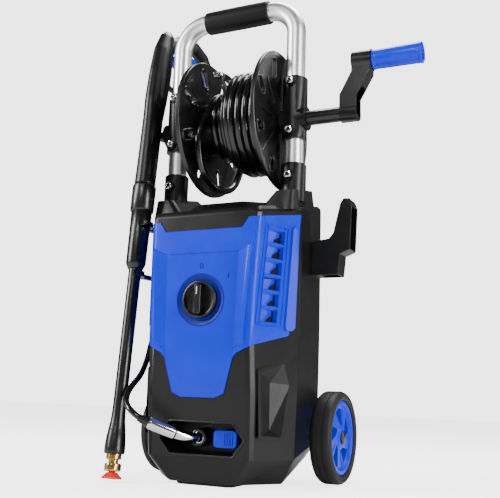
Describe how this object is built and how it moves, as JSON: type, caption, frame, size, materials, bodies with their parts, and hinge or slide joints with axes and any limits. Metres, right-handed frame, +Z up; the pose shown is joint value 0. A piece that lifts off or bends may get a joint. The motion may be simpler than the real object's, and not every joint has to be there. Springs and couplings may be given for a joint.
{
  "type": "pressure washer",
  "caption": "Upright electric pressure washer on wheels, with a bent tube handle, a cranked hose reel, a hung spray gun with its lance, a front selector knob and hose connections at its base.",
  "frame": {"origin": "on the floor, on the front foot's underside, midway between the sides and straight below the handle's tube", "axes": "+X to the side with the crank, -Y to the front with the selector knob, +Z up"},
  "size_m": [0.5305, 0.3243, 0.8665],
  "materials": {
    "black_plastic": "satin moulded black",
    "blue_plastic": "semi-gloss moulded blue",
    "foam": "soft matt foam",
    "hose": "satin black hose cover",
    "tyre": "matt black tread",
    "aluminium": "polished tube",
    "steel": "zinc plated",
    "chrome": "bright plated",
    "brass": "machined",
    "red_plastic": "moulded red",
    "cast_aluminium": "as cast"
  },
  "bodies": {
    "frame": {"front_housing": "black_plastic", "rear_housing": "black_plastic", "top_cover": "black_plastic", "front_panel": "blue_plastic", "switch_box": "black_plastic", "outlet_port": "steel", "cable_gland": "black_plastic", "front_foot": "black_plastic", "cord_hook": "black_plastic", "gun_holder": "black_plastic", "lance_clip": "black_plastic", "left_axle_cap": "black_plastic", "right_axle_cap": "black_plastic", "axle": "steel", "handle_tube": "aluminium", "handle_grip": "foam", "left_socket_bolt": "steel", "left_lower_bolt": "steel", "left_upper_bolt": "steel", "right_socket_bolt": "steel", "right_lower_bolt": "steel", "right_upper_bolt": "steel", "left_lower_tube": "aluminium", "right_lower_tube": "aluminium", "left_socket": "black_plastic", "right_socket": "black_plastic", "left_reel_bracket": "black_plastic", "right_reel_bracket": "black_plastic", "jumper_hose": "hose", "jumper_coupling": "chrome", "swivel_elbow": "black_plastic", "motor_stator": "cast_aluminium", "pump": "cast_aluminium"},
    "reel": {"reel_drum": "black_plastic", "left_flange": "black_plastic", "right_flange": "black_plastic", "reel_shaft": "black_plastic", "wound_hose": "hose", "hose_tail": "hose", "hose_end_fitting": "chrome", "crank_arm": "black_plastic", "crank_pin": "steel"},
    "crank_grip": {"crank_grip": "blue_plastic"},
    "left_wheel": {"left_wheel": "blue_plastic", "left_tyre": "tyre"},
    "right_wheel": {"right_wheel": "blue_plastic", "right_tyre": "tyre"},
    "selector": {"selector_knob": "black_plastic"},
    "rotor": {"motor_rotor": "steel"},
    "gun": {"gun_body": "black_plastic", "gun_inlet": "brass", "lance_nut": "black_plastic", "lance_collar": "black_plastic", "lance_tube": "black_plastic", "coupler_body": "brass"},
    "trigger": {"gun_trigger": "blue_plastic"},
    "trigger_lock": {"trigger_lock": "black_plastic"},
    "quick_collar": {"coupler_collar": "brass"},
    "nozzle": {"nozzle_tip": "red_plastic"},
    "inlet_connector": {"inlet_connector": "blue_plastic"}
  },
  "joints": [
    {"name": "reel_spin", "type": "hinge", "parent": "frame", "child": "reel", "pos_m": [0, 0, 0.627], "axis": [1, 0, 0], "continuous": true},
    {"name": "crank_grip_spin", "type": "hinge", "parent": "reel", "child": "crank_grip", "pos_m": [0.3, 0, 0.718], "axis": [1, 0, 0], "continuous": true},
    {"name": "left_wheel_spin", "type": "hinge", "parent": "frame", "child": "left_wheel", "pos_m": [-0.164, 0.1, 0.0785], "axis": [1, 0, 0], "continuous": true},
    {"name": "right_wheel_spin", "type": "hinge", "parent": "frame", "child": "right_wheel", "pos_m": [0.164, 0.1, 0.0785], "axis": [1, 0, 0], "continuous": true},
    {"name": "selector_turn", "type": "hinge", "parent": "frame", "child": "selector", "pos_m": [0, -0.105, 0.296], "axis": [0, 1, 0], "range_deg": [0, 55]},
    {"name": "motor_spin", "type": "hinge", "parent": "frame", "child": "rotor", "pos_m": [0, 0.03, 0.25], "axis": [0, 0, 1], "continuous": true},
    {"name": "gun_lift", "type": "slide", "parent": "frame", "child": "gun", "axis": [-0.0299, 0.134, 0.9905], "range_m": [0, 0.06]},
    {"name": "trigger_pull", "type": "hinge", "parent": "gun", "child": "trigger", "pos_m": [-0.15692, 0.03019, 0.80596], "axis": [0.9837, -0.1721, 0.053], "range_deg": [0, 6], "stiffness_Nm_per_rad": 4},
    {"name": "trigger_lock_turn", "type": "hinge", "parent": "trigger", "child": "trigger_lock", "pos_m": [-0.14325, 0.0965, 0.76762], "axis": [0.9837, -0.1721, 0.053], "range_deg": [0, 60]},
    {"name": "quick_collar_slide", "type": "slide", "parent": "gun", "child": "quick_collar", "axis": [-0.0299, 0.134, 0.9905], "range_m": [0, 0.005], "stiffness_N_per_m": 300},
    {"name": "nozzle_pull", "type": "slide", "parent": "gun", "child": "nozzle", "axis": [0.0299, -0.134, -0.9905], "range_m": [0, 0.016]},
    {"name": "inlet_connector_pull", "type": "slide", "parent": "frame", "child": "inlet_connector", "axis": [0, -1, 0], "range_m": [0, 0.03]}
  ]
}
